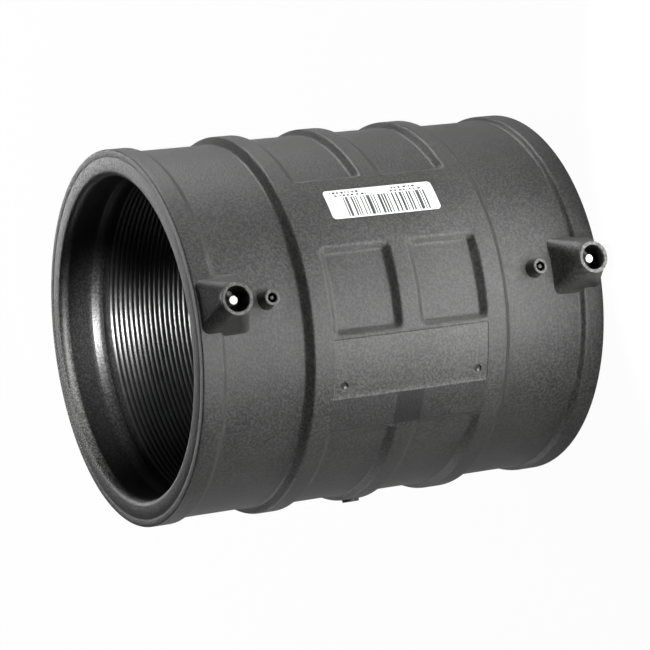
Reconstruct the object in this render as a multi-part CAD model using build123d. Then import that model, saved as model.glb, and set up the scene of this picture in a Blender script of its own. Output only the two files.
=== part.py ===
from build123d import *
from math import cos, radians, sin
import os

# Electrofusion coupler for 160 mm polyethylene pipe.
#
# Frame: +Z is the pipe axis and z = 0 is the lower end face, on which the coupler stands.
# Both terminals point along -Y. Angles run about +Z from -Y towards +X.
# Everything is modelled about the middle plane and lifted by half the length on export.
# All sizes are in millimetres and degrees.

# Pipe and sockets
PIPE_RADIUS = 80.0
PIPE_CLEARANCE = 1.0
LENGTH = 222.5
MOUTH_FLARE = 3.0
MOUTH_DEPTH = 3.4

# Outside of the moulding
BARREL_WALL = 11.0
COLLAR_HEIGHT = 2.2
COLLAR_WIDTH = 10.6

# Middle band: three ribs and the two channels between them
RIB_HEIGHT = 3.8
CHANNEL_DEPTH = 3.0
MIDDLE_RIB_WIDTH = 9.4
CHANNEL_WIDTH = 38.3
SIDE_RIB_WIDTH = 10.2
RIB_FLANK = 3.6
CHANNEL_FLANK = 3.4

# Plateau that closes both channels on the terminal side, with a pocket left in each
PLATEAU_HIGH_ANGLE = 36.6
PLATEAU_LOW_ANGLE = -42.7
POCKET_HALF_ANGLE = 13.2
END_FLANK_ANGLE = 1.8

# Marking panel sunk in the plateau, with two round date inserts
PANEL_HIGH_ANGLE = -14.0
PANEL_LOW_ANGLE = -31.9
PANEL_WIDTH = 85.4
PANEL_DEPTH = 0.3
DATE_INSERT_RADIUS = 2.1
DATE_INSERT_ANGLE = -28.2
DATE_INSERT_SPACING = 74.2
DATE_INSERT_DEPTH = 0.4

# Stub of the moulding gate on the middle rib
GATE_ANGLE = -92.0
GATE_RADIUS = 4.3
GATE_HEIGHT = 1.3

# Pipe stops in the middle of the bore
STOP_COUNT = 4
STOP_FIRST_ANGLE = 45.0
STOP_WIDTH = 12.0
STOP_LENGTH = 5.0
STOP_HEIGHT = 2.6

# Heating coil: a sleeve of turns in each socket, joined by one wire. It is as thick as the turns
# are between crest and valley, because their ridges are as fine as a thread.
COIL_START_DEPTH = 26.7
WINDING_PITCH = 2.8
WINDING_TURNS = 18
WINDING_HEIGHT = 0.7
COIL_SLEEVE_WALL = 0.5
COIL_END_GROOVE = 2.6
WIRE_RADIUS = 0.6
WIRE_SINK = 0.5
WIRE_TAIL = 1.2

# Terminals
TERMINAL_DEPTH = 13.35
SHROUD_RADIUS = 7.95
SHROUD_BORE_RADIUS = 6.2
SHROUD_HEIGHT = 19.2
SHROUD_BORE_DEPTH = 13.0
SHROUD_COLLAR = 1.6
BLOCK_WIDTH = 27.5
BLOCK_CORNER_REACH = 18.0
BLOCK_NECK_MARGIN = 0.15
BLOCK_SINK = 1.5
PIN_RADIUS = 2.35
PIN_RECESS = 4.5
PIN_CHAMFER = 0.4
PIN_SHANK_RADIUS = 2.9

# Fusion indicators
INDICATOR_DEPTH = 37.1
BOSS_HEIGHT = 7.0
BOSS_RADIUS = 3.85
BOSS_ROOT_RADIUS = 4.4
BOSS_BORE_RADIUS = 2.3
BOSS_SINK = 1.0
INDICATOR_TRAVEL = 3.0
INDICATOR_HEAD_RADIUS = 2.9
INDICATOR_HEAD_THICKNESS = 1.6
INDICATOR_STEM_RADIUS = 0.9
INDICATOR_RECESS = 0.6
INDICATOR_SIDE_GAP = 0.1
INDICATOR_END_GAP = 0.1
CHAMBER_SKIN = 1.8
MELT_HOLE_RADIUS = 1.0

# Bar code label on the plateau
LABEL_LENGTH = 60.0
LABEL_HEIGHT = 17.0
LABEL_ANGLE = 26.7
LABEL_CORNER = 2.0
LABEL_THICKNESS = 0.2

# How far a cutting tool reaches past the surface that it cuts
OVERCUT = 2.0

HALF_LENGTH = LENGTH / 2
BORE_RADIUS = PIPE_RADIUS + PIPE_CLEARANCE
MOUTH_RADIUS = BORE_RADIUS + MOUTH_FLARE
BARREL_RADIUS = BORE_RADIUS + BARREL_WALL
COLLAR_RADIUS = BARREL_RADIUS + COLLAR_HEIGHT
RIB_RADIUS = BARREL_RADIUS + RIB_HEIGHT
FLOOR_RADIUS = RIB_RADIUS - CHANNEL_DEPTH
CHANNEL_START = MIDDLE_RIB_WIDTH / 2
CHANNEL_END = CHANNEL_START + CHANNEL_WIDTH
BAND_END = CHANNEL_END + SIDE_RIB_WIDTH
COIL_START = HALF_LENGTH - COIL_START_DEPTH
COIL_END = COIL_START - WINDING_TURNS * WINDING_PITCH
COIL_RADIUS = BORE_RADIUS + WINDING_HEIGHT / 2
RECESS_RADIUS = BORE_RADIUS + WINDING_HEIGHT + COIL_SLEEVE_WALL
WIRE_LINE_RADIUS = RECESS_RADIUS + WIRE_SINK
TERMINAL_Z = HALF_LENGTH - TERMINAL_DEPTH
SHROUD_TIP = BARREL_RADIUS + SHROUD_HEIGHT
SHROUD_FLOOR = SHROUD_TIP - SHROUD_BORE_DEPTH
PIN_ROOT = WIRE_LINE_RADIUS + WIRE_RADIUS
PIN_TIP = SHROUD_TIP - PIN_RECESS
INDICATOR_Z = HALF_LENGTH - INDICATOR_DEPTH
BOSS_TIP = BARREL_RADIUS + BOSS_HEIGHT
CHAMBER_ROOT = RECESS_RADIUS + CHAMBER_SKIN
HEAD_ROOT = CHAMBER_ROOT + INDICATOR_END_GAP
HEAD_TOP = HEAD_ROOT + INDICATOR_HEAD_THICKNESS
CHAMBER_TOP = HEAD_TOP + INDICATOR_TRAVEL + INDICATOR_END_GAP
CHAMBER_RADIUS = INDICATOR_HEAD_RADIUS + INDICATOR_SIDE_GAP


def polar(radius, angle):
    """Point in the XY plane at an angle measured from -Y towards +X."""
    return (radius * sin(radians(angle)), -radius * cos(radians(angle)))


def outward(radius, angle, z):
    """Plane at a radius and angle whose normal points away from the axis and whose Y is +Z."""
    x, y = polar(radius, angle)
    tangent = (cos(radians(angle)), sin(radians(angle)), 0)
    normal = (sin(radians(angle)), -cos(radians(angle)), 0)
    return Plane(origin=(x, y, z), x_dir=tangent, z_dir=normal)


def turned(corners):
    """Solid of revolution about Z from (radius, z) corners."""
    outline = make_face(Polyline(*corners, close=True))
    return revolve(Plane.XZ * outline, Axis.Z)


def sleeve(inner, outer, low, high):
    """Plain tube about Z."""
    return turned([(inner, low), (outer, low), (outer, high), (inner, high)])


def stud(radius, root, tip, angle, z):
    """Cylinder that points away from the axis, from one radius to another."""
    return outward(root, angle, z) * Cylinder(radius, tip - root, align=(Align.CENTER, Align.CENTER, Align.MIN))


def wedge(low, high, low_flank, high_flank):
    """Prism over the band between two angles given at the rib top, each end sloped by its flank.

    A flank is the angle by which that end moves on its way down to the channel floor."""
    inner = FLOOR_RADIUS - OVERCUT
    outer = RIB_RADIUS + OVERCUT
    inner_share = (RIB_RADIUS - inner) / CHANNEL_DEPTH
    outer_share = (RIB_RADIUS - outer) / CHANNEL_DEPTH
    low_out = low + low_flank * outer_share
    high_out = high + high_flank * outer_share
    outline = [
        Line(polar(inner, low + low_flank * inner_share), polar(outer, low_out)),
        CenterArc((0, 0), outer, low_out - 90, high_out - low_out),
        Line(polar(outer, high_out), polar(inner, high + high_flank * inner_share)),
        Line(polar(inner, high + high_flank * inner_share), polar(inner, low + low_flank * inner_share)),
    ]
    return extrude(make_face(Curve() + outline), BAND_END, both=True)


def half_profile():
    """Corners of the moulding's section from the middle plane to one end: outside, face, inside."""
    outside = [
        (RIB_RADIUS, BAND_END),
        (BARREL_RADIUS, BAND_END + RIB_FLANK),
        (BARREL_RADIUS, HALF_LENGTH - COLLAR_WIDTH - COLLAR_HEIGHT),
        (COLLAR_RADIUS, HALF_LENGTH - COLLAR_WIDTH),
        (COLLAR_RADIUS, HALF_LENGTH),
    ]
    inside = [
        (MOUTH_RADIUS, HALF_LENGTH),
        (BORE_RADIUS, HALF_LENGTH - MOUTH_DEPTH),
        (BORE_RADIUS, COIL_START + COIL_END_GROOVE),
        (RECESS_RADIUS, COIL_START + COIL_END_GROOVE),
        (RECESS_RADIUS, COIL_END),
        (BORE_RADIUS, COIL_END),
    ]
    return outside + inside


def blank():
    """The moulding as turned, before the channels are sunk between its ribs."""
    upper = half_profile()
    lower = [(radius, -z) for radius, z in reversed(upper)]
    return turned(upper + lower)


def channel():
    """Ring-shaped cut between the middle rib and the upper side rib."""
    slope = CHANNEL_FLANK / CHANNEL_DEPTH
    return turned([
        (FLOOR_RADIUS, CHANNEL_START + CHANNEL_FLANK),
        (RIB_RADIUS + OVERCUT, CHANNEL_START - OVERCUT * slope),
        (RIB_RADIUS + OVERCUT, CHANNEL_END + OVERCUT * slope),
        (FLOOR_RADIUS, CHANNEL_END - CHANNEL_FLANK),
    ])


def sunk_areas():
    """What is cut from the band: each channel round the back, and its pocket in the plateau."""
    plateau = wedge(PLATEAU_LOW_ANGLE, PLATEAU_HIGH_ANGLE, -END_FLANK_ANGLE, END_FLANK_ANGLE)
    pocket = wedge(-POCKET_HALF_ANGLE, POCKET_HALF_ANGLE, END_FLANK_ANGLE, -END_FLANK_ANGLE)
    upper = channel()
    areas = [upper - plateau, upper & pocket]
    return areas + [mirror(area, Plane.XY) for area in areas]


def panel():
    """Shallow sunk panel in the plateau for raised marking."""
    middle = (PANEL_HIGH_ANGLE + PANEL_LOW_ANGLE) / 2
    width = 2 * RIB_RADIUS * sin(radians((PANEL_HIGH_ANGLE - PANEL_LOW_ANGLE) / 2))
    floor = RIB_RADIUS - PANEL_DEPTH
    block = outward(FLOOR_RADIUS - OVERCUT, middle, 0) * Box(
        width, PANEL_WIDTH, CHANNEL_DEPTH + 2 * OVERCUT, align=(Align.CENTER, Align.CENTER, Align.MIN)
    )
    return block & sleeve(floor, RIB_RADIUS + OVERCUT, -BAND_END, BAND_END)


def date_inserts():
    """Round recesses left by the two date inserts of the mould."""
    floor = RIB_RADIUS - PANEL_DEPTH - DATE_INSERT_DEPTH
    places = [-DATE_INSERT_SPACING / 2, DATE_INSERT_SPACING / 2]
    return [stud(DATE_INSERT_RADIUS, floor, RIB_RADIUS + OVERCUT, DATE_INSERT_ANGLE, z) for z in places]


def stops():
    """Lugs in the middle of the bore against which both pipes stop."""
    ring = sleeve(BORE_RADIUS - STOP_HEIGHT, BORE_RADIUS + OVERCUT, -STOP_LENGTH / 2, STOP_LENGTH / 2)
    lugs = []
    for index in range(STOP_COUNT):
        place = outward(BORE_RADIUS, STOP_FIRST_ANGLE + index * 360 / STOP_COUNT, 0)
        lugs.append(ring & (place * Box(STOP_WIDTH, STOP_LENGTH, 4 * STOP_HEIGHT)))
    return lugs


def trapezoid(foot_width, top_width, rise):
    """Upright trapezoid on the local X axis, from the width of its foot to that of its top."""
    return make_face(
        Polyline((-foot_width / 2, 0), (foot_width / 2, 0), (top_width / 2, rise), (-top_width / 2, rise), close=True)
    )


def shroud(z):
    """Terminal shroud: a square foot, its corners parts of one cone, that rises to a round tube."""
    root = BARREL_RADIUS - BLOCK_SINK
    rise = SHROUD_TIP - SHROUD_COLLAR - root
    neck_width = 2 * (SHROUD_RADIUS + BLOCK_NECK_MARGIN)
    across = extrude(Plane.XZ * trapezoid(BLOCK_WIDTH, neck_width, rise), BLOCK_WIDTH, both=True)
    along = extrude(Plane.YZ * trapezoid(2 * TERMINAL_DEPTH, neck_width, rise), BLOCK_WIDTH, both=True)
    cone = Cone(BLOCK_CORNER_REACH, SHROUD_RADIUS, rise, align=(Align.CENTER, Align.CENTER, Align.MIN))
    return outward(root, 0, z) * (across & along & cone) + stud(SHROUD_RADIUS, root, SHROUD_TIP, 0, z)


def boss(z):
    """Short tapered boss round a fusion indicator."""
    root = BARREL_RADIUS - BOSS_SINK
    cone = Cone(BOSS_ROOT_RADIUS, BOSS_RADIUS, BOSS_TIP - root, align=(Align.CENTER, Align.CENTER, Align.MIN))
    return outward(root, 0, z) * cone


def indicator_hole(z):
    """Mouth, chamber and melt hole of a fusion indicator, down to the back of the coil."""
    mouth = stud(BOSS_BORE_RADIUS, CHAMBER_ROOT, BOSS_TIP + OVERCUT, 0, z)
    chamber = stud(CHAMBER_RADIUS, CHAMBER_ROOT, CHAMBER_TOP, 0, z)
    melt_hole = stud(MELT_HOLE_RADIUS, RECESS_RADIUS - COIL_SLEEVE_WALL, CHAMBER_ROOT + INDICATOR_END_GAP, 0, z)
    return mouth + chamber + melt_hole


def terminal_pin(z):
    """Metal contact pin: its shank is moulded into the wall, its slimmer end stands free."""
    free_end = stud(PIN_RADIUS, SHROUD_FLOOR, PIN_TIP, 0, z)
    free_end = chamfer(free_end.faces().sort_by(Axis.Y)[0].edges(), PIN_CHAMFER)
    return free_end + stud(PIN_SHANK_RADIUS, PIN_ROOT, SHROUD_FLOOR, 0, z)


def fusion_indicator(z):
    """Captive indicator that melt pressure lifts until its head meets the chamber's top."""
    head = stud(INDICATOR_HEAD_RADIUS, HEAD_ROOT, HEAD_TOP, 0, z)
    return head + stud(INDICATOR_STEM_RADIUS, HEAD_TOP, BOSS_TIP - INDICATOR_RECESS, 0, z)


def wire(low, high):
    """Straight run of wire along the sockets, on the terminal side."""
    place = Plane(origin=(*polar(WIRE_LINE_RADIUS, 0), low))
    return place * Cylinder(WIRE_RADIUS, high - low, align=(Align.CENTER, Align.CENTER, Align.MIN))


def wires():
    """The link between the two sleeves, and the lead of each sleeve to its terminal pin."""
    link = wire(-COIL_END - WIRE_TAIL, COIL_END + WIRE_TAIL)
    lead = wire(COIL_START - WIRE_TAIL, TERMINAL_Z + PIN_SHANK_RADIUS)
    return [link, lead, mirror(lead, Plane.XY)]


def heating_coil():
    """Both sleeves of turns with the wire that joins them and their leads."""
    upper = sleeve(COIL_RADIUS, RECESS_RADIUS, COIL_END, COIL_START)
    return upper + mirror(upper, Plane.XY) + wires()


def label():
    """Thin sticker that follows the plateau's curve."""
    sheet = sleeve(RIB_RADIUS, RIB_RADIUS + LABEL_THICKNESS, -BAND_END, BAND_END)
    outline = RectangleRounded(LABEL_HEIGHT, LABEL_LENGTH, LABEL_CORNER)
    block = extrude(outward(FLOOR_RADIUS, LABEL_ANGLE, 0) * outline, CHANNEL_DEPTH + OVERCUT)
    return block & sheet


def coupler_body():
    """The whole moulding, with room for the coil, pins and indicators that it holds."""
    body = blank() - sunk_areas() - panel() - date_inserts()
    body += stops()
    body += stud(GATE_RADIUS, FLOOR_RADIUS, RIB_RADIUS + GATE_HEIGHT, GATE_ANGLE, 0)
    for side in (1, -1):
        body += shroud(side * TERMINAL_Z)
        body += boss(side * INDICATOR_Z)
    for side in (1, -1):
        body -= stud(SHROUD_BORE_RADIUS, SHROUD_FLOOR, SHROUD_TIP + OVERCUT, 0, side * TERMINAL_Z)
        body -= terminal_pin(side * TERMINAL_Z)
        body -= indicator_hole(side * INDICATOR_Z)
    return body - wires()


def write(name, shape):
    """Lift a piece from the middle plane to its place above the lower face, and write it."""
    export_step(Pos(0, 0, HALF_LENGTH) * shape, f"parts/{name}.step")


def main():
    os.makedirs("parts", exist_ok=True)
    write("coupler_body", coupler_body())
    write("heating_coil", heating_coil())
    write("barcode_label", label())
    for name, side in (("upper", 1), ("lower", -1)):
        write(f"{name}_terminal_pin", terminal_pin(side * TERMINAL_Z))
        write(f"{name}_fusion_indicator", fusion_indicator(side * INDICATOR_Z))


main()
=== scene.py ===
"""Visual model of an electrofusion coupler for 160 mm polyethylene pipe.

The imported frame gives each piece's place and body. Shapes are worked out in millimetres about the coupler's
middle, with angles in degrees about +Z from -Y towards +X, and are put in the frame in metres when they
become meshes. The coupler stands on its lower end face on a plain pale floor.
"""

import sys

import logging
from dataclasses import dataclass, field
from enum import Enum
from typing import Any, Sequence

import bpy
import numpy as np
from mathutils import Matrix, Vector


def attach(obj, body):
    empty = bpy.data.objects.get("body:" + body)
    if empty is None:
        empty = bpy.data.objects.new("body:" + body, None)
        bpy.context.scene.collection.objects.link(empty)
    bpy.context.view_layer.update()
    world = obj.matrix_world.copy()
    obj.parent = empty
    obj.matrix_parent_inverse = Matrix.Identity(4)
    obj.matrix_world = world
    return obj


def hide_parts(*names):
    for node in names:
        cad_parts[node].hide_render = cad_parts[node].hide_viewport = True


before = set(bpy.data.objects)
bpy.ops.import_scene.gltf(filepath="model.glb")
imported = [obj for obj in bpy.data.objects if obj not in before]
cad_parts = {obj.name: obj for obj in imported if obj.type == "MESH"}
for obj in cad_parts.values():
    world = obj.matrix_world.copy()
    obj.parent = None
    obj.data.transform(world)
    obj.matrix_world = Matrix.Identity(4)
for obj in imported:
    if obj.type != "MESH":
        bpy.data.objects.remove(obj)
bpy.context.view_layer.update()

LOG = logging.getLogger("coupler")
METRE = 0.001
HALF_LENGTH = 111.25
BARREL_RADIUS = 92.0
COLLAR_RADIUS = 94.2
RIB_RADIUS = 95.8
BORE_RADIUS = 81.0
RECESS_RADIUS = 82.2
COIL_START = 84.55
COIL_GROOVE = 2.6
WINDING_PITCH = 2.8
WINDING_TURNS = 18
STUD_SEGMENTS = 40
# Bevel of a corner that looks sharp.
SHARP = 0.05


class Side(Enum):
    """The two ends of the coupler, as the sign of z from the middle."""

    UPPER = 1
    LOWER = -1

    @property
    def word(self) -> str:
        """Name of the side in piece names."""
        return self.name.lower()


class Region(Enum):
    """Regions of the moulding: polish from 0 for grained to 1 for smooth, and tone, 1 on the plain body."""

    # The bore and its entry are darkened with painted shade.
    BORE = (0.85, 0.06)
    ENTRY = (0.6, 0.0)
    PANEL = (0.2, 1.25)
    STRIP = (0.0, 0.7)
    PATCH = (0.0, 0.1)
    # Each insert is darkened with painted shade, and its glint is a painted highlight.
    INSERT = (0.2, 0.0)
    INSERT_GLINT = (0.2, 7.0)
    SHROUD_SLOPE = (0.05, 1.1)
    # The rim of a shroud is lightened as a painted highlight.
    SHROUD_RIM = (0.3, 2.6)
    BOSS_CONE = (0.3, 1.0)
    # The lip of a boss is lightened as a painted highlight.
    BOSS_LIP = (0.3, 2.4)
    SHADED_HOLE = (0.3, 0.0)
    STUB = (0.2, 1.0)

    @property
    def polish(self) -> float:
        """How smooth it is."""
        return self.value[0]

    @property
    def tone(self) -> float:
        """How light it is."""
        return self.value[1]


# ----------------------------------------------------------------------------------------------------------
# Surfaces


@dataclass
class Shell:
    """A surface: points in millimetres about the coupler's middle, and faces as tuples of point numbers.

    Attributes are one number a point, by name, for materials to read.
    """

    points: np.ndarray
    faces: list[tuple[int, ...]]
    attributes: dict[str, np.ndarray] = field(default_factory=dict)

    def turned_out(self) -> "Shell":
        """The same closed shell with its faces outwards.

        All faces are reversed where the volume inside comes out negative. The volume is a sixth of the sum,
        over each face cut into a fan of triangles, of the triple product of the triangle's corners.

        Returns:
            The shell itself.
        """
        total = 0.0
        for size in {len(face) for face in self.faces}:
            corners = self.points[np.array([face for face in self.faces if len(face) == size])]
            first = corners[:, :1]
            cross = np.cross(corners[:, 1:-1], corners[:, 2:])
            total += float((first * cross).sum())
        if total < 0:
            self.faces = [face[::-1] for face in self.faces]
        return self


def ring_faces(rows: int, columns: int, closed: bool) -> list[tuple[int, ...]]:
    """Quads that join rings of points numbered ring by ring.

    Args:
        rows: Number of rings.
        columns: Number of points in a ring.
        closed: True if the last ring joins the first.

    Returns:
        One tuple of four point numbers for each cell of the grid.
    """
    row, column = np.meshgrid(np.arange(rows if closed else rows - 1), np.arange(columns), indexing="ij")
    beyond_row = (row + 1) % rows
    beyond_column = (column + 1) % columns
    corners = [
        row * columns + column,
        row * columns + beyond_column,
        beyond_row * columns + beyond_column,
        beyond_row * columns + column,
    ]
    return [tuple(quad) for quad in np.stack(corners, axis=-1).reshape(-1, 4).tolist()]


def tube_faces(rows: int, columns: int) -> list[tuple[int, ...]]:
    """Quads of a tube of rings, and a flat face over each of its ends.

    Args:
        rows: Number of rings.
        columns: Number of points in a ring.

    Returns:
        The faces as tuples of point numbers.
    """
    faces = ring_faces(rows, columns, False)
    faces.append(tuple(range(columns))[::-1])
    faces.append(tuple(range((rows - 1) * columns, rows * columns)))
    return faces


def degrees_round(distance: float | np.ndarray, radius: float) -> float | np.ndarray:
    """Angle in degrees that a distance round the axis takes up at a radius."""
    return distance / radius * 180 / np.pi


def distance_round(angle: float | np.ndarray, radius: float) -> float | np.ndarray:
    """Distance round the axis that an angle in degrees takes up at a radius."""
    return angle * np.pi / 180 * radius


def polar(radius: np.ndarray, angle: np.ndarray, z: np.ndarray) -> np.ndarray:
    """Points at a radius and an angle: x is radius times sine, y is minus radius times cosine.

    Args:
        radius: Distances from the pipe axis.
        angle: Angles in degrees from -Y towards +X.
        z: Heights above the middle.

    Returns:
        Points, one row each.
    """
    turn = np.radians(angle)
    radius, turn, z = np.broadcast_arrays(radius, turn, z)
    return np.stack([radius * np.sin(turn), -radius * np.cos(turn), z], axis=-1).reshape(-1, 3)


def ramp(value: np.ndarray, start: float, end: float, soft: float) -> np.ndarray:
    """Rises from 0 at start to 1 at end in a straight slope whose two corners are rounded.

    It is the straight ramp averaged over a window of plus and minus soft, worked out from its integral.

    Args:
        value: Where the ramp is read.
        start: Where the straight slope would leave 0.
        end: Where the straight slope would reach 1.
        soft: Half the width of the window, which rounds the corners.

    Returns:
        Shares between 0 and 1.
    """

    def integral(at: np.ndarray) -> np.ndarray:
        """Area under the straight ramp up to a value."""
        slope = np.clip(at, start, end)
        return (slope - start) ** 2 / (2 * (end - start)) + np.maximum(at - end, 0)

    return (integral(value + soft) - integral(value - soft)) / (2 * soft)


def bump(value: np.ndarray, low: float, high: float, slope: float, soft: float) -> np.ndarray:
    """A soft ramp up from low and a soft ramp down to high: 1 between the two and 0 beyond.

    Args:
        value: Where it is read.
        low: Foot of the rise.
        high: Foot of the fall.
        slope: Width of each ramp.
        soft: Rounding of the ramps' corners.

    Returns:
        Shares between 0 and 1.
    """
    return ramp(value, low, low + slope, soft) * (1 - ramp(value, high - slope, high, soft))


def lines(*runs: Sequence[float] | np.ndarray, least: float) -> np.ndarray:
    """Grid lines from several runs of values, sorted, without those nearer than least to the one before.

    Args:
        runs: Runs of values that may overlap.
        least: Smallest step kept.

    Returns:
        The kept values in rising order.
    """
    values = np.unique(np.round(np.concatenate([np.asarray(run, dtype=float) for run in runs]), 4))
    step = np.floor((values - values[0]) / least + 1e-6)
    return values[np.concatenate([[True], np.diff(step) > 0])]


def arc(centre: tuple[float, float], radius: float, start: float, end: float, count: int) -> np.ndarray:
    """Points on an arc in the (radius, height) plane: centre plus radius times cosine and sine of the angle.

    Args:
        centre: Middle of the arc.
        radius: Its radius.
        start: First angle in degrees.
        end: Last angle in degrees.
        count: Number of points.

    Returns:
        Rows of (radius, height).
    """
    turn = np.radians(np.linspace(start, end, count))
    return np.stack([centre[0] + radius * np.cos(turn), centre[1] + radius * np.sin(turn)], axis=-1)


def outward_points(
    side: np.ndarray, along: np.ndarray, height: np.ndarray, angle: float, z: float
) -> np.ndarray:
    """Points given across, along and above a place on the coupler's side.

    The point is the axis point at z, plus height along the outward direction, plus side along the tangent,
    plus along in +Z.

    Args:
        side: Distances across, towards larger angles.
        along: Distances in +Z.
        height: Distances from the pipe axis along the outward direction.
        angle: Angle of the outward direction in degrees.
        z: Height of the place above the middle.

    Returns:
        Points, one row each.
    """
    turn = np.radians(angle)
    side, along, height = np.broadcast_arrays(side, along, height)
    x = height * np.sin(turn) + side * np.cos(turn)
    y = -height * np.cos(turn) + side * np.sin(turn)
    return np.stack([x, y, z + along], axis=-1).reshape(-1, 3)


def ring_looks(stretches: Sequence[tuple[Region, int]], columns: int) -> dict[str, np.ndarray]:
    """Polish and tone of every point of a tube of rings.

    Args:
        stretches: Each region in the order of the rings, with its number of rings.
        columns: Number of points in a ring.

    Returns:
        The values by attribute name.
    """
    counts = [count * columns for _, count in stretches]
    return {
        "polish": np.repeat([region.polish for region, _ in stretches], counts),
        "tone": np.repeat([region.tone for region, _ in stretches], counts),
    }


def stud_shell(
    profile: np.ndarray, angle: float, z: float, stretches: Sequence[tuple[Region, int]]
) -> Shell:
    """A round stud that points outwards: a (radius, height) profile turned about the outward direction.

    Each profile point gives one ring of points at that radius and height, and the first and last rings are
    closed by flat faces.

    Args:
        profile: Rows of (radius, height from the pipe axis).
        angle: Angle of the outward direction.
        z: Height of the stud's axis above the middle.
        stretches: Each region in the order of the rings, with its number of rings.

    Returns:
        The closed shell.
    """
    turn = np.linspace(0, 2 * np.pi, STUD_SEGMENTS, endpoint=False)
    side = profile[:, :1] * np.cos(turn)
    along = profile[:, :1] * np.sin(turn)
    points = outward_points(side, along, profile[:, 1:], angle, z)
    faces = tube_faces(len(profile), STUD_SEGMENTS)
    return Shell(points, faces, ring_looks(stretches, STUD_SEGMENTS)).turned_out()


# ----------------------------------------------------------------------------------------------------------
# Finishes

POLYETHYLENE_IOR = 1.51
PAPER_IOR = 1.5
SCALED = {"operation": "MULTIPLY_ADD"}
CLAMPED = {"operation": "MULTIPLY_ADD", "use_clamp": True}
# The Mix node's colours are its inputs 6 and 7 and its output 2.
COLOURS = {"data_type": "RGBA"}
COLOUR_OUTPUT = 2


def linear(colour: str) -> tuple[float, float, float, float]:
    """Linear colour from an sRGB hex value such as #4a4b4c.

    Args:
        colour: The hex value.

    Returns:
        Red, green, blue and an alpha of 1.
    """
    parts = np.array([int(colour[place:place + 2], 16) for place in (1, 3, 5)]) / 255
    shares = np.where(parts <= 0.04045, parts / 12.92, ((parts + 0.055) / 1.055) ** 2.4)
    return (*(float(share) for share in shares), 1.0)


def per_mm(size: float) -> float:
    """Texture scale on Object coordinates that gives features of a size in millimetres."""
    return 1.0 / (size * METRE)


@dataclass
class Tree:
    """The nodes of one material or world while it is made."""

    owner: bpy.types.Material | bpy.types.World

    @classmethod
    def emptied(cls, owner: bpy.types.Material | bpy.types.World) -> "Tree":
        """The node tree of a material or world, with nothing in it.

        Args:
            owner: The material or world.

        Returns:
            Its tree.
        """
        owner.use_nodes = True
        owner.node_tree.nodes.clear()
        return cls(owner)

    @classmethod
    def named(cls, name: str) -> "Tree":
        """A new material with an empty node tree."""
        return cls.emptied(bpy.data.materials.new(name))

    def add(self, kind: str, settings: dict[str, Any] | None = None, **inputs: Any) -> bpy.types.Node:
        """Adds a node with its settings and its inputs.

        An input goes by its name with _ for a space, or by its number as in0, in1 and so on. It takes a
        value, an output socket, or a node, which stands for its first output.

        Args:
            kind: Node type without the ShaderNode prefix.
            settings: Properties of the node.
            inputs: What each input takes.

        Returns:
            The node.
        """
        node = self.owner.node_tree.nodes.new("ShaderNode" + kind)
        for name, value in (settings or {}).items():
            setattr(node, name, value)
        for name, value in inputs.items():
            numbered = name[:2] == "in" and name[2:].isdigit()
            socket = node.inputs[int(name[2:]) if numbered else name.replace("_", " ")]
            source = value.outputs[0] if isinstance(value, bpy.types.Node) else value
            if isinstance(source, bpy.types.NodeSocket):
                self.owner.node_tree.links.new(source, socket)
            else:
                socket.default_value = source
        return node

    def finished(self, shader: bpy.types.Node) -> bpy.types.Material:
        """Joins the shader to the surface output and gives the material."""
        self.add("OutputMaterial", Surface=shader)
        return self.owner


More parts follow.
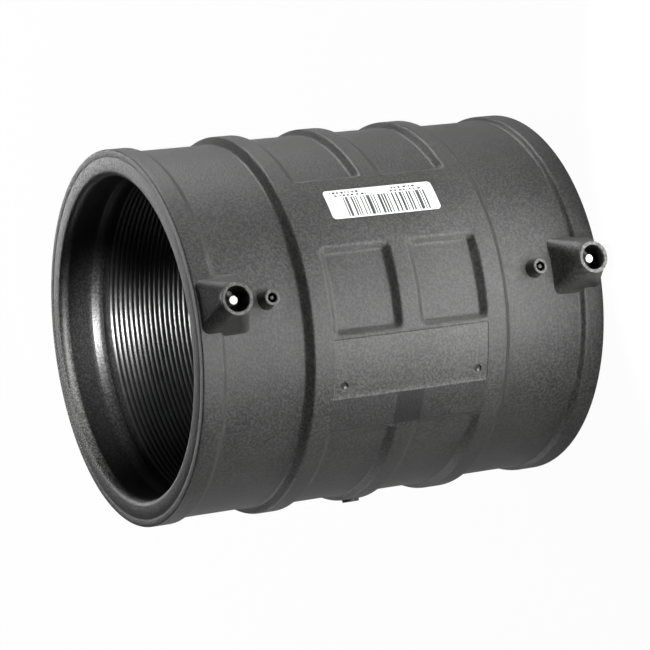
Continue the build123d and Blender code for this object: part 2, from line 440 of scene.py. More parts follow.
@dataclass(frozen=True)
class MouldedPolyethylene:
    """Black PE100 as it leaves a spark-eroded mould: matt charcoal whose fine even grain breaks up its sheen.

    The attribute polish runs from 0 on the grained outside to 1 on a smooth cored bore. The attribute tone
    darkens a region below 1 and lightens it above, and so paints shade into the bore, inserts and holes and
    paints highlights on rims, lips and the inserts' glints.
    """

    name: str = "moulded_black_polyethylene"
    colour: str = "#0e0e0d"
    light: str = "#3c3c3b"
    dark: str = "#040404"
    # Real spark grain is 0.1 to 0.3 mm, too fine for the view, so it is drawn at about six times that.
    grain_mm: float = 1.2
    grain_depth_mm: float = 0.26
    speckle_gain: float = 5.0
    speckle_start: float = -2.1
    speckle_share: float = 0.75
    cloud_mm: float = 26.0
    cloud_share: float = 0.5
    cloud_start: float = -0.08
    roughness: float = 0.5
    smooth_roughness: float = 0.3
    speckle_roughness: float = 0.1
    polish_flattens: float = 0.85

    def made(self) -> bpy.types.Material:
        """Makes the material.

        One noise gives the grain's relief and, with more contrast, its speckle, and a large one gives faint
        clouds. Both lighten the colour.

        Returns:
            The material.
        """
        tree = Tree.named(self.name)
        place = tree.add("TexCoord").outputs["Object"]
        polish = tree.add("Attribute", {"attribute_name": "polish"}).outputs["Fac"]
        tone = tree.add("Attribute", {"attribute_name": "tone"}).outputs["Fac"]
        grain = tree.add("TexNoise", Vector=place, Scale=per_mm(self.grain_mm), Detail=3.0, Roughness=0.6)
        cloud = tree.add("TexNoise", Vector=place, Scale=per_mm(self.cloud_mm), Detail=4.0, Roughness=0.55)
        speckle = tree.add("Math", CLAMPED, in0=grain, in1=self.speckle_gain, in2=self.speckle_start)
        share = tree.add("Math", SCALED, in0=cloud, in1=self.cloud_share, in2=self.cloud_start)
        share = tree.add("Math", CLAMPED, in0=speckle, in1=self.speckle_share, in2=share)
        body = tree.add("Mix", COLOURS, in0=share, in6=linear(self.colour), in7=linear(self.light))
        body_colour = body.outputs[COLOUR_OUTPUT]
        # A tone above 1 goes past the body's colour, for painted highlights and a lighter panel.
        unclamped = COLOURS | {"clamp_factor": False}
        shade = tree.add("Mix", unclamped, in0=tone, in6=linear(self.dark), in7=body_colour)
        smoother = self.smooth_roughness - self.roughness
        rough = tree.add("Math", SCALED, in0=polish, in1=smoother, in2=self.roughness)
        rough = tree.add("Math", SCALED, in0=speckle, in1=self.speckle_roughness, in2=rough)
        depth = tree.add("Math", SCALED, in0=polish, in1=-self.polish_flattens, in2=1.0)
        relief = tree.add("Bump", Strength=depth, Distance=self.grain_depth_mm * METRE, Height=grain)
        shader = tree.add(
            "BsdfPrincipled",
            Base_Color=shade.outputs[COLOUR_OUTPUT],
            Roughness=rough,
            Normal=relief,
            IOR=POLYETHYLENE_IOR,
        )
        return tree.finished(shader)


@dataclass(frozen=True)
class NoiseFinish:
    """A finish that one noise of a real size varies.

    The noise mixes colour with second, adds up to extra_roughness to roughness, and lifts the surface by up
    to relief_mm at the strength of relief. With no ior the shader's own is kept, as a metal needs.
    """

    name: str
    colour: str
    second: str
    noise_mm: float
    detail: float
    roughness: float
    extra_roughness: float
    relief: float = 0.0
    relief_mm: float = 0.0
    metallic: float = 0.0
    ior: float | None = None

    def made(self) -> bpy.types.Material:
        """Makes the material.

        Returns:
            The material.
        """
        tree = Tree.named(self.name)
        place = tree.add("TexCoord").outputs["Object"]
        noise = tree.add("TexNoise", Vector=place, Scale=per_mm(self.noise_mm), Detail=self.detail)
        colour = tree.add("Mix", COLOURS, in0=noise, in6=linear(self.colour), in7=linear(self.second))
        rough = tree.add("Math", SCALED, in0=noise, in1=self.extra_roughness, in2=self.roughness)
        inputs = {"Base_Color": colour.outputs[COLOUR_OUTPUT], "Roughness": rough, "Metallic": self.metallic}
        if self.ior is not None:
            inputs["IOR"] = self.ior
        if self.relief > 0:
            distance = self.relief_mm * METRE
            inputs["Normal"] = tree.add("Bump", Strength=self.relief, Distance=distance, Height=noise)
        return tree.finished(tree.add("BsdfPrincipled", **inputs))


@dataclass(frozen=True)
class CoilPolyethylene(NoiseFinish):
    """Black PE drawn over the resistance wire: smooth and glossy, with a thin bright line along each turn."""

    name: str = "drawn_coil_polyethylene"
    colour: str = "#060606"
    second: str = "#0e0e0e"
    noise_mm: float = 9.0
    detail: float = 3.0
    roughness: float = 0.27
    extra_roughness: float = 0.12
    relief: float = 0.05
    relief_mm: float = 0.05
    ior: float = POLYETHYLENE_IOR


@dataclass(frozen=True)
class TinnedBrass(NoiseFinish):
    """Turned brass with a tin plating: a bright silver-white metal, dulled in specks by handling."""

    name: str = "tinned_brass"
    colour: str = "#e6e4de"
    second: str = "#cfcac0"
    # Rubbed specks are 0.1 to 0.2 mm across and are drawn at about three times that.
    noise_mm: float = 0.5
    detail: float = 3.0
    roughness: float = 0.3
    extra_roughness: float = 0.15
    relief: float = 0.1
    relief_mm: float = 0.03
    metallic: float = 1.0


@dataclass(frozen=True)
class IndicatorPolyethylene(NoiseFinish):
    """Moulded black PE of the fusion indicators: smooth and slightly waxy, with a soft clouded sheen."""

    name: str = "moulded_indicator_polyethylene"
    colour: str = "#121212"
    second: str = "#2b2b2a"
    noise_mm: float = 1.5
    detail: float = 2.0
    roughness: float = 0.42
    extra_roughness: float = 0.1
    relief: float = 0.1
    relief_mm: float = 0.04
    ior: float = POLYETHYLENE_IOR


@dataclass(frozen=True)
class LabelFilm(NoiseFinish):
    """Coated white paper: bright and semi-matt, with a trace of paper fibre."""

    name: str = "coated_label_paper"
    colour: str = "#e9e9e7"
    second: str = "#f3f3f1"
    # Fibres are some 0.03 mm across, too fine for the view, so their mottle is drawn at twenty times that.
    noise_mm: float = 0.6
    detail: float = 3.0
    roughness: float = 0.5
    extra_roughness: float = 0.12
    relief: float = 0.12
    relief_mm: float = 0.03
    ior: float = PAPER_IOR


@dataclass(frozen=True)
class PrintInk(NoiseFinish):
    """Thermal-transfer print: near-black resin, a little glossier than the paper and lighter in specks."""

    name: str = "label_print_ink"
    colour: str = "#2b2b2d"
    second: str = "#454548"
    # Missed specks are some 0.1 mm across, too fine for the view, so they are drawn at five times that.
    noise_mm: float = 0.5
    detail: float = 2.0
    roughness: float = 0.42
    extra_roughness: float = 0.1
    ior: float = PAPER_IOR


# ----------------------------------------------------------------------------------------------------------
# Pieces


def joined(shells: Sequence[Shell]) -> Shell:
    """One shell made of several.

    Args:
        shells: The shells, whose points and faces are numbered on. An attribute that one lacks is 0 there.

    Returns:
        The whole.
    """
    names = sorted({name for shell in shells for name in shell.attributes})
    points = np.concatenate([shell.points for shell in shells])
    faces, start = [], 0
    for shell in shells:
        faces += [tuple(start + point for point in face) for face in shell.faces]
        start += len(shell.points)
    attributes = {
        name: np.concatenate([shell.attributes.get(name, np.zeros(len(shell.points))) for shell in shells])
        for name in names
    }
    return Shell(points, faces, attributes)


def piece(
    name: str,
    shell: Shell,
    material: bpy.types.Material,
    body: str,
    replaces: Sequence[str] = (),
) -> bpy.types.Object:
    """Makes a mesh object of a shell, gives it its material and body, and hides the CAD nodes that it stands
    for.

    Args:
        name: Name of the piece.
        shell: Its surface in millimetres about the coupler's middle.
        material: Its finish.
        body: The body that it rides on.
        replaces: CAD nodes that it stands for.

    Returns:
        The object.
    """
    mesh = bpy.data.meshes.new(name)
    place = (shell.points + np.array([0, 0, HALF_LENGTH])) * METRE
    mesh.from_pydata(place.tolist(), [], shell.faces)
    for attribute, values in shell.attributes.items():
        layer = mesh.attributes.new(attribute, "FLOAT", "POINT")
        layer.data.foreach_set("value", np.asarray(values, dtype=np.float32))
    mesh.polygons.foreach_set("use_smooth", np.ones(len(mesh.polygons), dtype=bool))
    mesh.materials.append(material)
    mesh.update()
    thing = bpy.data.objects.new(name, mesh)
    bpy.context.scene.collection.objects.link(thing)
    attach(thing, body)
    if replaces:
        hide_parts(*replaces)
    LOG.info("%s: %d points, %d faces", name, len(shell.points), len(shell.faces))
    return thing


@dataclass
class Moulding:
    """The injection-moulded body: its outside with ribs, channels and plateau, and its bore.

    Heights such as band_end and panel_half are measured from the middle, and the moulding is the same on both
    sides of it. The plateau and the panel are ranges of angle, and pocket is half the pockets' angle.
    """

    collar_width: float = 10.6
    collar_flank: float = 2.2
    middle_rib: float = 4.7
    band_end: float = 53.2
    rib_flank: float = 3.6
    channel_end: float = 43.0
    channel_flank: float = 3.4
    channel_depth: float = 3.0
    plateau: tuple[float, float] = (-42.7, 36.6)
    pocket: float = 13.2
    end_flank: float = 1.8
    soft: float = 0.8

    panel: tuple[float, float] = (-31.9, -14.0)
    panel_half: float = 42.7
    panel_depth: float = 0.3
    # Width of its edge, in degrees round the axis and in millimetres along it.
    panel_edge: float = 0.2
    panel_soft: float = 0.12
    panel_soft_angle: float = 0.1
    patch_half: float = 7.5
    insert_angle: float = -28.2
    insert_z: float = 37.1
    insert_radius: float = 2.1
    insert_depth: float = 0.7
    insert_edge: float = 0.25
    insert_soft: float = 0.15
    # The painted glint on each insert: its radius and its offset from the insert's middle.
    glint_radius: float = 0.8
    glint_place: tuple[float, float] = (-0.8, -0.9)

    rim: float = 0.7
    ring_line: float = 90.3
    # Half its width at the face and at its floor, and its depth.
    ring_groove: tuple[float, float, float] = (0.5, 0.2, 0.12)
    mouth_flare: float = 3.0
    mouth_depth: float = 3.4
    entry_depth: float = 18.0
    entry_relief: float = 1.1
    # What is left of the relief at distances past the entry, down to the plain bore.
    entry_step: tuple[tuple[float, float], ...] = ((1.06, 0.15), (0.14, 3.4), (0.0, 4.2))
    stop_height: float = 2.6
    stop_length: float = 5.0
    stop_width: float = 12.0
    stop_edge: float = 0.4
    stop_soft: float = 0.3
    # Rows of the bore towards the middle, close where a stop ends.
    stop_rows: tuple[float, ...] = (20, 8, 3.2, 2.6, 2.2, 1.2)

    column_step: float = 2.0
    row_step: float = 6.0
    least_column_step: float = 0.08
    least_row_step: float = 0.12

    def angles(self) -> np.ndarray:
        """Angles of the grid's columns, closer at the ends of plateau and pockets, the panel and the inserts.

        Returns:
            Angles in degrees in rising order.
        """
        feet = (self.plateau[0] - self.end_flank, self.plateau[1], -self.pocket, self.pocket - self.end_flank)
        over_flank = np.linspace(-1.1, 2.9, 13)
        over_edge = np.array([-0.35, -0.12, 0.12, 0.35])
        over_insert = np.linspace(-1.5, 1.5, 15)
        runs = [foot + over_flank for foot in feet]
        runs += [edge + over_edge for edge in self.panel]
        runs.append(self.insert_angle + over_insert)
        return lines(np.arange(-180, 180, self.column_step), *runs, least=self.least_column_step)

    def heights(self) -> np.ndarray:
        """Heights of the outside's rows, closer at every flank and the inserts, mirrored about the middle.

        Returns:
            Heights in rising order.
        """
        collar_top = HALF_LENGTH - self.collar_width
        corners = [self.middle_rib, self.middle_rib + self.channel_flank]
        corners += [self.channel_end - self.channel_flank, self.channel_end]
        corners += [self.band_end, self.band_end + self.rib_flank, collar_top - self.collar_flank, collar_top]
        over_corner = np.linspace(-1.2, 1.2, 7)
        over_edge = np.array([-0.5, -0.2, 0.1, 0.4])
        over_insert = np.linspace(-2.4, 2.4, 13)
        runs = [corner + over_corner for corner in corners]
        runs += [self.panel_half + over_edge, self.insert_z + over_insert]
        top = HALF_LENGTH - self.rim
        half = lines(np.arange(0, top, self.row_step), *runs, least=self.least_row_step)
        half = half[(half > 0) & (half < top - SHARP)]
        return np.concatenate([-half[::-1], [0], half])

    def outside(self, angle: np.ndarray, z: np.ndarray) -> np.ndarray:
        """Radius of the outside at an angle and a height.

        The barrel, plus soft ramps up to each collar and to the band of ribs, less the channel depth where
        the channel's share along z meets its share round the axis, less the panel and the two round inserts.

        Args:
            angle: Angles in degrees.
            z: Heights above the middle.

        Returns:
            Radii in millimetres.
        """
        high = np.abs(z)
        soft = self.soft
        collar_top = HALF_LENGTH - self.collar_width
        collar = ramp(high, collar_top - self.collar_flank, collar_top, soft)
        band = 1 - ramp(high, self.band_end, self.band_end + self.rib_flank, soft)
        along = bump(high, self.middle_rib, self.channel_end, self.channel_flank, soft)
        turn = degrees_round(soft, RIB_RADIUS)
        low, top = self.plateau[0] - self.end_flank, self.plateau[1] + self.end_flank
        solid = bump(angle, low, top, self.end_flank, turn)
        pocket = bump(angle, -self.pocket, self.pocket, self.end_flank, turn)
        round_share = np.clip(1 - solid + pocket, 0, 1)
        panel = bump(angle, *self.panel, self.panel_edge, self.panel_soft_angle)
        panel = panel * (1 - ramp(high, self.panel_half - self.panel_edge, self.panel_half, self.panel_soft))
        across = distance_round(angle - self.insert_angle, RIB_RADIUS)
        reach = np.hypot(across, high - self.insert_z)
        insert = 1 - ramp(reach, self.insert_radius - self.insert_edge, self.insert_radius, self.insert_soft)
        return (
            BARREL_RADIUS
            + (COLLAR_RADIUS - BARREL_RADIUS) * collar
            + (RIB_RADIUS - BARREL_RADIUS) * band
            - self.channel_depth * along * round_share
            - self.panel_depth * panel
            - self.insert_depth * insert
        )

    def end_profile(self) -> np.ndarray:
        """Section from the collar's rim over the end face and lip and down the bore to near the middle.

        The rim is a quarter arc, the ring line a shallow groove and the lip a quarter ellipse. Behind the lip
        the entry widens evenly and then steps back to the bore, and the coil lies in a recess.

        Returns:
            Rows of (radius, height above the middle).
        """
        rim = arc((COLLAR_RADIUS - self.rim, HALF_LENGTH - self.rim), self.rim, 0, 90, 6)
        wide, narrow, deep = self.ring_groove
        groove = np.array([[wide, 0], [narrow, -deep], [-narrow, -deep], [-wide, 0]])
        groove = groove + [self.ring_line, HALF_LENGTH]
        turn = np.radians(np.linspace(90, 0, 9))
        lip_radius = BORE_RADIUS + self.mouth_flare * (1 - np.cos(turn))
        lip = np.stack([lip_radius, HALF_LENGTH - self.mouth_depth * (1 - np.sin(turn))], axis=-1)
        wall, back, lip_end = BORE_RADIUS, RECESS_RADIUS, HALF_LENGTH - self.mouth_depth
        land = HALF_LENGTH - self.entry_depth
        start = COIL_START + COIL_GROOVE
        end = COIL_START - WINDING_TURNS * WINDING_PITCH
        widening = np.linspace(0.1, 1, 6)
        bore = [(wall + self.entry_relief * share, lip_end + (land - lip_end) * share) for share in widening]
        bore += [(wall + relief, land - past) for relief, past in self.entry_step]
        bore += [(wall, start + 4 * SHARP), (wall, start + SHARP), (wall + SHARP, start)]
        bore += [(back - SHARP, start), (back, start - SHARP), (back, COIL_START), (back, end + SHARP)]
        bore += [(back - SHARP, end), (wall + SHARP, end), (wall, end - 2 * SHARP)]
        bore += [(wall, z) for z in self.stop_rows]
        return np.concatenate([rim, groove, lip, np.array(bore)])

    def shell(self) -> Shell:
        """The turned part of the moulding as one grid closed both ways.

        Rows run up the outside, over the upper end, down the bore and back under the lower end, and columns
        run round the axis. A row of the outside has the radius field's values, and any other row has one
        radius, less the height of the four stops near the middle.

        Returns:
            The closed shell with its polish and tone.
        """
        angle = self.angles()
        heights = self.heights()
        outer_angle, outer_z = np.meshgrid(angle, heights)
        profile = self.end_profile()
        inner = np.concatenate([profile, [[BORE_RADIUS, 0]], profile[::-1] * [1, -1]])
        inner_radius = np.repeat(inner[:, :1], len(angle), axis=1)
        inner_z = np.repeat(inner[:, 1:], len(angle), axis=1)
        off_stop = np.abs(distance_round(angle % 90 - 45, BORE_RADIUS))
        stop = 1 - ramp(off_stop, self.stop_width / 2 - self.stop_edge, self.stop_width / 2, self.stop_soft)
        near = (np.abs(inner_z) < self.stop_length / 2) & (inner_radius <= BORE_RADIUS)
        inner_radius = inner_radius - self.stop_height * near * stop
        radius = np.concatenate([self.outside(outer_angle, outer_z), inner_radius])
        z = np.concatenate([outer_z, inner_z])
        angle = np.broadcast_to(angle, radius.shape)
        polish, tone = self.regions(radius, angle, z, len(heights))
        faces = ring_faces(*radius.shape, True)
        values = {"polish": polish.ravel(), "tone": tone.ravel()}
        return Shell(polar(radius, angle, z), faces, values).turned_out()

    def regions(
        self, radius: np.ndarray, angle: np.ndarray, z: np.ndarray, outer_rows: int
    ) -> tuple[np.ndarray, np.ndarray]:
        """Polish and tone over the grid.

        The bore is smooth and its entry a little less smooth, and both are darkened with painted shade. The
        panel is lighter, the strip below it darker with a dark patch in its middle, and each insert is
        darkened with painted shade and has a painted highlight as a glint at one edge.

        Args:
            radius: Radii of the grid.
            angle: Angles of the grid.
            z: Heights of the grid.
            outer_rows: Number of rows that belong to the outside.

        Returns:
            The two grids of values.
        """
        high = np.abs(z)
        bore_side = radius < (BORE_RADIUS + BARREL_RADIUS) / 2
        inside = bore_side & (high < HALF_LENGTH - self.mouth_depth)
        past_entry = high < HALF_LENGTH - self.entry_depth
        outer = np.zeros_like(inside)
        outer[:outer_rows] = True
        panel = outer & (angle > self.panel[0]) & (angle < self.panel[1]) & (high < self.panel_half)
        strip_top = self.panel[0] - self.panel_edge
        strip = outer & (angle > self.plateau[0]) & (angle < strip_top) & (high < self.channel_end)
        across = distance_round(angle - self.insert_angle, RIB_RADIUS)
        along = z - np.where(z < 0, -1, 1) * self.insert_z
        glint = np.hypot(across - self.glint_place[0], along - self.glint_place[1]) < self.glint_radius
        polish = np.zeros_like(radius)
        tone = np.ones_like(radius)
        for where, region in (
            # Painted shade in the bore and its entry.
            (inside & past_entry, Region.BORE),
            (inside & ~past_entry, Region.ENTRY),
            (panel, Region.PANEL),
            (strip, Region.STRIP),
            (strip & (high < self.patch_half), Region.PATCH),
            # Painted shade in each insert, and a painted highlight as a glint at one edge.
            (outer & (np.hypot(across, along) < self.insert_radius), Region.INSERT),
            (outer & glint, Region.INSERT_GLINT),
        ):
            polish[where] = region.polish
            tone[where] = region.tone
        return polish, tone


@dataclass
class Shroud:
    """Terminal shroud: a square foot that blends into a short round collar with the terminal's bore in it."""

    side: Side
    depth: float = 13.35
    width: float = 27.5
    corner: float = 3.5
    sink: float = 1.5
    fillet: float = 1.0
    fillet_share: float = 0.2
    end_gap: float = 0.03
    tip: float = 111.2
    collar: float = 1.6
    radius: float = 7.95
    bore: float = 6.2
    bore_depth: float = 13.0
    # Rings down the bore, as shares of its depth above its floor.
    hole_rows: tuple[float, ...] = (0.85, 0.6, 0.3, 0.02)
    edge: float = 0.35
    per_corner: int = 10
    per_side: int = 8

    def outline(self, half_side: float, half_along: float, corner: float) -> np.ndarray:
        """Rounded rectangle about the origin: quarter arcs at its corners and straight runs between them.

        Each corner arc and each straight run has the same number of points on every outline, so two outlines
        can be blended point by point.

        Args:
            half_side: Half the size across.
            half_along: Half the size along the axis.
            corner: Radius of the corners.

        Returns:
            Rows of (across, along).
        """
        bends = []
        for quarter in range(4):
            middle = np.radians(45 + 90 * quarter)
            centre = np.sign([np.cos(middle), np.sin(middle)]) * [half_side - corner, half_along - corner]
            turn = np.radians(np.linspace(90 * quarter + 2, 90 * quarter + 88, self.per_corner))
            bends.append(centre + corner * np.stack([np.cos(turn), np.sin(turn)], axis=-1))
        share = np.linspace(0, 1, self.per_side + 2)[1:-1, None]
        runs = []
        for bend, following in zip(bends, bends[1:] + bends[:1]):
            runs += [bend, bend[-1] + (following[0] - bend[-1]) * share]
        return np.concatenate(runs)

    def shell(self) -> Shell:
        """The shroud as rings of one outline that blends from the foot's square to the neck's circle.

        The ring at share t of the rise is the foot's outline times 1 - t plus the circle times t. Its height
        is that of the straight slope, and near the foot it flares in a small fillet. The foot is flat and
        lies within the barrel's wall. Above the neck the rings are circles over the rim and down the bore.

        Returns:
            The closed shell.
        """
        foot = self.outline(self.width / 2, self.depth, self.corner)
        circle = self.outline(self.radius, self.radius, self.radius)
        root = BARREL_RADIUS - self.sink
        neck = self.tip - self.collar
        share = np.concatenate([np.linspace(0, self.fillet_share, 8), np.linspace(0.27, 1, 9)])[:, None, None]
        slope = foot * (1 - share) + circle * share
        flare = self.fillet * np.clip(1 - share / self.fillet_share, 0, 1) ** 2
        slope = slope * (1 + flare / np.linalg.norm(slope, axis=2, keepdims=True))
        outer = arc((self.radius - self.edge, self.tip - self.edge), self.edge, 0, 90, 5)
        inner = arc((self.bore + self.edge, self.tip - self.edge), self.edge, 90, 180, 5)
        floor = self.tip - self.bore_depth
        rim = [(self.radius, neck + SHARP), *outer, *inner]
        hole = [(self.bore, floor + self.bore_depth * rise) for rise in self.hole_rows]
        hole += [(self.bore - 0.15, floor), (self.bore * 0.5, floor)]
        tube = np.array(rim + hole)
        ring = np.concatenate([slope, circle / self.radius * tube[:, :1, None]])
        height = np.concatenate([root + (neck - root) * share[:, 0, 0], tube[:, 1]])
        sign = self.side.value
        along = np.minimum(ring[..., 1] * sign, self.depth - self.end_gap) * sign
        place = sign * (HALF_LENGTH - self.depth)
        points = outward_points(ring[..., 0], along, height[:, None], 0, place)
        rows, columns = along.shape
        stretches = [(Region.SHROUD_SLOPE, len(slope)), (Region.SHROUD_RIM, len(rim))]
        stretches.append((Region.SHADED_HOLE, len(hole)))
        return Shell(points, tube_faces(rows, columns), ring_looks(stretches, columns)).turned_out()


@dataclass
class Boss:
    """Boss round a fusion indicator: a short cone with a rolled lip and an open bore."""

    side: Side
    depth: float = 37.1
    tip: float = 99.0
    radius: float = 3.85
    root: float = 4.4
    foot: float = 91.2
    fillet: float = 0.9
    fillet_height: float = 2.2
    bore: float = 2.3
    floor: float = 92.6
    edge: float = 0.45

    def shell(self) -> Shell:
        """The boss as a turned profile: fillet, cone, lip, bore and its floor.

        Returns:
            The closed shell.
        """
        rise = np.linspace(0, 1, 6)
        fillet = np.stack(
            [self.root + self.fillet * (1 - rise) ** 2, self.foot + self.fillet_height * rise], axis=-1
        )
        outer = arc((self.radius - self.edge, self.tip - self.edge), self.edge, 0, 90, 6)
        inner = arc((self.bore + self.edge, self.tip - self.edge), self.edge, 90, 180, 6)
        hole = [(self.bore, self.tip - 2), (self.bore, self.floor + 2 * SHARP)]
        hole.append((self.bore - 2 * SHARP, self.floor))
        profile = np.concatenate([fillet, outer, inner, hole])
        # The lip's first ring still looks like the cone, and its last like the hole.
        cone, lip = len(fillet) + 1, len(outer) + len(inner) - 2
        stretches = [(Region.BOSS_CONE, cone), (Region.BOSS_LIP, lip)]
        stretches.append((Region.SHADED_HOLE, len(profile) - cone - lip))
        return stud_shell(profile, 0, self.side.value * (HALF_LENGTH - self.depth), stretches)


@dataclass
class GateStub:
    """What is left of the moulding gate: a round pad on the middle rib, cut off by hand."""

    angle: float = -92.0
    radius: float = 4.3
    tip: float = 97.1
    rim: float = 0.3

    def shell(self) -> Shell:
        """The pad as a turned profile with a small flare at its foot and a soft rim.

        Returns:
            The closed shell.
        """
        foot = [(self.radius + 0.5, RIB_RADIUS - 1.0), (self.radius + 0.1, RIB_RADIUS + 0.1)]
        rim = arc((self.radius - self.rim, self.tip - self.rim), self.rim, 0, 90, 5)
        profile = np.concatenate([foot, rim, [(1.0, self.tip + SHARP)]])
        return stud_shell(profile, self.angle, 0, [(Region.STUB, len(profile))])


@dataclass
class Winding:
    """Coated resistance wire wound side by side in each socket, seen as fine rounded ridges."""

    segments: int = 96
    height: float = 0.7
    back_gap: float = 0.02

    def shell(self, side: Side) -> Shell:
        """One socket's winding: the section of a turn carried along a helix.

        Along the path the angle grows by 360 degrees a turn while z falls by the pitch. The section is half
        an ellipse that bulges into the bore, with a flat back at the recess, and it closes on itself. Both
        ends of the path are closed by flat faces.

        Args:
            side: Which socket.

        Returns:
            The closed shell.
        """
        turn = np.linspace(0, 1, 11)
        bulge = np.stack([BORE_RADIUS + self.height * (1 - np.sin(np.pi * turn)), turn], axis=-1)
        back = RECESS_RADIUS - self.back_gap
        section = np.concatenate([bulge, [[back, 1.0], [back, 0.0]]])
        steps = np.arange(self.segments * (WINDING_TURNS - 1) + 1)[:, None] / self.segments
        radius = np.broadcast_to(section[:, 0], (len(steps), len(section)))
        z = COIL_START - WINDING_PITCH * (steps + section[:, 1])
        points = polar(radius, 360 * steps * side.value, z * side.value)
        return Shell(points, tube_faces(*radius.shape)).turned_out()


@dataclass
class Label:
    """White label with rounded corners on the plateau, with generic bars and small print.

    Each row of dashes is given as its two edges round the plateau and its start and end along z.
    """

    angle: float = 26.7
    length: float = 60.0
    height: float = 17.0
    corner: float = 2.0
    thickness: float = 0.2
    sink: float = 0.01
    print_height: float = 0.03
    print_sink: float = 0.05
    bars: tuple[float, float] = (-25.0, 22.5)
    bar_across: tuple[float, float] = (-7.8, 3.7)
    bar_widths: tuple[float, ...] = (0.6, 0.9, 1.3, 1.8)
    bar_odds: tuple[float, ...] = (0.4, 0.25, 0.2, 0.15)
    dash_steps: tuple[float, float] = (0.5, 1.7)
    dash_rows: tuple[tuple[float, float, float, float], ...] = (
        (4.4, 5.4, -24.0, -4.0),
        (4.4, 5.4, 6.0, 26.0),
        (6.1, 7.3, -22.0, -6.0),
        (6.1, 7.3, 10.0, 27.0),
    )
    seed: int = 11

    def slab(
        self, along: np.ndarray, low: np.ndarray, high: np.ndarray, base: float, top: float, across: int
    ) -> Shell:
        """A thin slab bent round the axis, between two edges given along z.

        Its grid runs along z and across between the edges, on two radii, and closes round them.

        Args:
            along: Heights of the columns above the middle.
            low: Lower edge at each, as distance round the plateau.
            high: Upper edge at each.
            base: Inner radius.
            top: Outer radius.
            across: Points from edge to edge.

        Returns:
            The closed shell.
        """
        share = np.linspace(0, 1, across)
        loop = np.concatenate([share, share[::-1]])
        radius = np.repeat([top, base], across)
        distance = low[:, None] + (high - low)[:, None] * loop
        angle = self.angle + degrees_round(distance, RIB_RADIUS)
        points = polar(radius, angle, along[:, None])
        return Shell(points, tube_faces(*distance.shape)).turned_out()

    def sheet(self) -> Shell:
        """The label: past a corner's start, the half height loses what the corner's circle takes.

        Returns:
            The closed shell.
        """
        half = self.length / 2
        turn = np.radians(np.linspace(4, 90, 9))
        bend = half - self.corner + self.corner * np.cos(turn)
        straight = np.linspace(-half + self.corner, half - self.corner, 12)[1:-1]
        along = np.concatenate([-bend, straight, bend[::-1]])
        past = np.maximum(np.abs(along) - (half - self.corner), 0)
        edge = self.height / 2 - self.corner + np.sqrt(np.maximum(self.corner ** 2 - past ** 2, 0))
        return self.slab(along, -edge, edge, RIB_RADIUS - self.sink, RIB_RADIUS + self.thickness, 12)

    def mark(self, start: float, end: float, low: float, high: float, across: int) -> Shell:
        """One printed mark as a thin slab that stands in the label's face.

        Args:
            start: Its start along z.
            end: Its end along z.
            low: Its lower edge, as distance round the plateau.
            high: Its upper edge.
            across: Points from edge to edge.

        Returns:
            The closed shell.
        """
        face = RIB_RADIUS + self.thickness
        base, top = face - self.print_sink, face + self.print_height
        return self.slab(np.array([start, end]), np.full(2, low), np.full(2, high), base, top, across)

    def print_marks(self) -> Shell:
        """Bars of seeded random widths that encode nothing, and rows of short dashes for small print.

        Returns:
            All marks as one shell.
        """
        random = np.random.default_rng(self.seed)
        widths = random.choice(self.bar_widths, size=80, p=self.bar_odds)
        edges = self.bars[0] + np.cumsum(widths)
        edges = edges[edges < self.bars[1]]
        marks = [self.mark(start, end, *self.bar_across, 7) for start, end in zip(edges[0::2], edges[1::2])]
        for low, high, start, end in self.dash_rows:
            dashes = start + np.cumsum(random.uniform(*self.dash_steps, size=90))
            dashes = dashes[dashes < end]
            marks += [self.mark(first, last, low, high, 2) for first, last in zip(dashes[0::2], dashes[1::2])]
        return joined(marks)


# ----------------------------------------------------------------------------------------------------------
# Stage

WHITE = (1.0, 1.0, 1.0, 1.0)
MIDDLE = (0.0, 0.0, HALF_LENGTH * METRE)


@dataclass(frozen=True)
class Lamp:
    """A lamp aimed from its place at a point, in metres, with its power in watts."""

    name: str
    place: tuple[float, float, float]
    aim: tuple[float, float, float]
    power: float

    def data(self) -> bpy.types.Light:
        """The lamp's own kind of light."""
        raise NotImplementedError

    def stretch(self) -> tuple[float, float, float]:
        """Scale of the lamp, which widens a spot's beam."""
        return (1.0, 1.0, 1.0)

    def lit(self) -> None:
        """Puts the lamp in the scene at its place and turns it to its aim."""
        data = self.data()
        data.energy = self.power
        light = bpy.data.objects.new(self.name, data)
        light.location = self.place
        light.rotation_euler = (Vector(self.aim) - Vector(self.place)).to_track_quat("-Z", "Y").to_euler()
        light.scale = self.stretch()
        bpy.context.scene.collection.objects.link(light)


@dataclass(frozen=True)
class SoftBox(Lamp):
    """A soft rectangular light, with its width and height in metres."""

    width: float
    height: float

    def data(self) -> bpy.types.AreaLight:
        """A rectangular area light.

        Returns:
            The light's data.
        """
        data = bpy.data.lights.new(self.name, "AREA")
        data.shape = "RECTANGLE"
        data.size = self.width
        data.size_y = self.height
        return data


@dataclass(frozen=True)
class Snoot(Lamp):
    """A narrow soft-edged spot, as from a lamp with a flattened tube on it.

    Spread is the full angle of its cone in degrees, and flattening is how many times wider the beam is across
    than upwards.
    """

    spread: float
    flattening: float

    def data(self) -> bpy.types.SpotLight:
        """A soft-edged spot.

        Returns:
            The light's data.
        """
        data = bpy.data.lights.new(self.name, "SPOT")
        data.spot_size = np.radians(self.spread)
        data.spot_blend = 0.8
        data.shadow_soft_size = 0.01
        return data

    def stretch(self) -> tuple[float, float, float]:
        """Wider across by the flattening."""
        return (self.flattening, 1.0, 1.0)


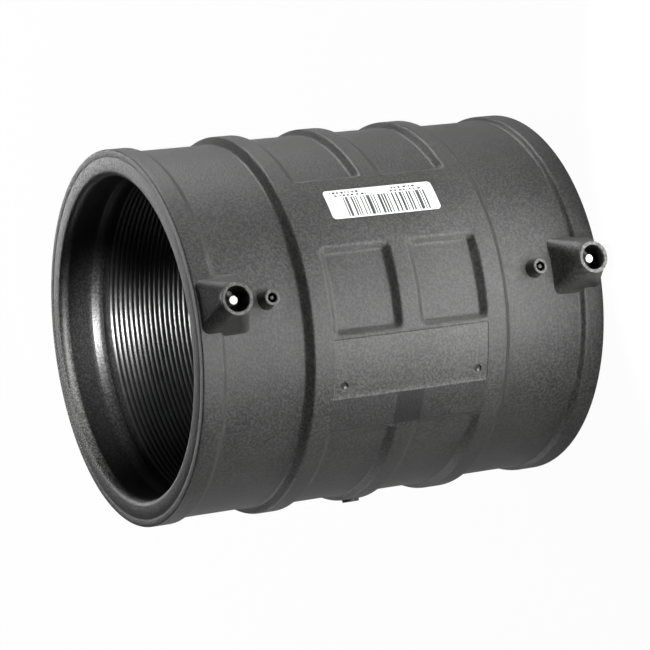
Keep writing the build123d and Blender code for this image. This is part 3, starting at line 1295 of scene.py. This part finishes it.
# The floor and foot lights fall on the floor, which throws their light up at the coupler's lower end.
LAMPS = (
    SoftBox("low_front", (-0.45, -1.05, 0.035), (0.0, 0.0, 0.06), 9, 0.3, 0.05),
    Snoot("floor_light", (-0.02, -0.43, 0.8), (-0.02, -0.43, 0.0), 130, 34, 1.0),
    Snoot("foot_light", (0.0, -0.5, 0.85), (0.0, -0.2, 0.0), 330, 12, 2.0),
    SoftBox("side", (1.35, 0.0, 0.03), MIDDLE, 31, 0.45, 0.45),
    SoftBox("rear", (0.5, 1.15, 0.75), MIDDLE, 12, 0.6, 0.6),
    SoftBox("rear_low", (-1.2, 0.9, 0.3), MIDDLE, 5, 0.5, 0.5),
    Snoot("bore_light", (-0.25, -0.64, 1.11), (-0.006, 0.081, 0.165), 165, 4.8, 1.0),
    Snoot("land_light", (-0.24, -1.1, 0.64), (0.0, 0.081, 0.2015), 380, 2.2, 2.6),
)


@dataclass
class Studio:
    """Pale floor, white world, lamps and the camera.

    Each gloss is how much of the full white a reflection meets there.
    """

    place: tuple[float, float, float] = (-0.1387, -1.2583, 0.7496)
    forward: tuple[float, float, float] = (0.09398, 0.88758, -0.45097)
    up: tuple[float, float, float] = (0.98106, -0.15963, -0.10972)
    lens: float = 152.68
    sensor_width: float = 36.0
    clip_end: float = 50.0
    floor_half: float = 6.0
    floor_colour: str = "#e8e8e8"
    floor_roughness: float = 0.9
    floor_gloss: float = 0.22
    floor_white: float = 0.97
    world_gloss: float = 0.03
    world_dim: float = 0.03

    def camera(self) -> None:
        """Camera at its place, looking forward, with its up direction near +X because the view is rolled."""
        data = bpy.data.cameras.new("camera")
        data.lens = self.lens
        data.sensor_width = self.sensor_width
        data.clip_end = self.clip_end
        camera = bpy.data.objects.new("camera", data)
        ahead = Vector(self.forward).normalized()
        right = ahead.cross(Vector(self.up)).normalized()
        over = right.cross(ahead)
        turn = Matrix((right, over, -ahead)).transposed().to_4x4()
        camera.matrix_world = Matrix.Translation(self.place) @ turn
        bpy.context.scene.collection.objects.link(camera)
        bpy.context.scene.camera = camera

    def white_share(self, tree: Tree, gloss: float) -> bpy.types.Node:
        """Share of full white that a ray meets: all from the camera or through glass, and gloss if reflected.

        Args:
            tree: The tree that asks.
            gloss: Share in a reflection.

        Returns:
            The node whose output is the share.
        """
        ray = tree.add("LightPath").outputs
        larger = {"operation": "MAXIMUM"}
        reflected = tree.add("Math", {"operation": "MULTIPLY"}, in0=ray["Is Glossy Ray"], in1=gloss)
        view = tree.add("Math", larger, in0=ray["Is Camera Ray"], in1=ray["Is Transmission Ray"])
        return tree.add("Math", larger, in0=view, in1=reflected)

    def floor(self) -> None:
        """A large floor at the coupler's foot, matt to light and almost white to the camera."""
        half = self.floor_half
        corners = [(-half, -half, 0), (half, -half, 0), (half, half, 0), (-half, half, 0)]
        mesh = bpy.data.meshes.new("floor")
        mesh.from_pydata(corners, [], [(0, 1, 2, 3)])
        tree = Tree.named("pale_floor")
        view = self.white_share(tree, self.floor_gloss)
        share = tree.add("Math", {"operation": "MULTIPLY"}, in0=view, in1=self.floor_white)
        base = linear(self.floor_colour)
        matt = tree.add("BsdfPrincipled", Base_Color=base, Roughness=self.floor_roughness)
        glow = tree.add("Emission", Color=WHITE, Strength=1.0)
        mesh.materials.append(tree.finished(tree.add("MixShader", in0=share, in1=matt, in2=glow)))
        thing = bpy.data.objects.new("floor", mesh)
        bpy.context.scene.collection.objects.link(thing)

    def world(self) -> None:
        """White to the camera, and a dim even light otherwise."""
        world = bpy.data.worlds.new("world")
        tree = Tree.emptied(world)
        share = self.white_share(tree, self.world_gloss)
        dim = tree.add("Background", Color=WHITE, Strength=self.world_dim)
        white = tree.add("Background", Color=WHITE, Strength=1.0)
        tree.add("OutputWorld", Surface=tree.add("MixShader", in0=share, in1=dim, in2=white))
        bpy.context.scene.world = world

    def build(self) -> None:
        """Makes the whole stage."""
        self.camera()
        self.floor()
        self.world()
        for lamp in LAMPS:
            lamp.lit()
        bpy.context.scene.view_settings.view_transform = "Standard"


# ----------------------------------------------------------------------------------------------------------
# Assembly


@dataclass
class Coupler:
    """The whole coupler: moulding, winding and label, and the finishes of the CAD pins and indicators."""

    moulding: Moulding = field(default_factory=Moulding)
    winding: Winding = field(default_factory=Winding)
    label: Label = field(default_factory=Label)

    def body(self) -> None:
        """The moulding with its shrouds, bosses and gate stub, as one piece."""
        shells = [self.moulding.shell(), GateStub().shell()]
        for side in Side:
            shells += [Shroud(side).shell(), Boss(side).shell()]
        material = MouldedPolyethylene().made()
        piece("moulded_body", joined(shells), material, "coupler", ["coupler_body"])

    def coil(self) -> None:
        """Both windings as one piece."""
        shells = [self.winding.shell(side) for side in Side]
        material = CoilPolyethylene().made()
        piece("winding", joined(shells), material, "coupler", ["heating_coil"])

    def paper(self) -> None:
        """The label and its print."""
        paper = LabelFilm().made()
        piece("label_sheet", self.label.sheet(), paper, "coupler", ["barcode_label"])
        ink = PrintInk().made()
        piece("label_print", self.label.print_marks(), ink, "coupler")

    def carried(self) -> None:
        """Finishes of the pins and indicators, whose CAD shapes stay."""
        metal = TinnedBrass().made()
        waxy = IndicatorPolyethylene().made()
        for side in Side:
            for word, material in (("terminal_pin", metal), ("fusion_indicator", waxy)):
                name = f"{side.word}_{word}"
                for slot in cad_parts[name].material_slots:
                    slot.material = material
                LOG.info("%s: CAD shape with %s", name, material.name)

    def build(self) -> None:
        """Makes every piece."""
        self.body()
        self.coil()
        self.paper()
        self.carried()


def main() -> None:
    """Builds the stage and the coupler."""
    logging.basicConfig(level=logging.INFO, format="%(name)s %(message)s", stream=sys.stdout)
    Studio().build()
    Coupler().build()


if __name__ == "__main__":
    main()
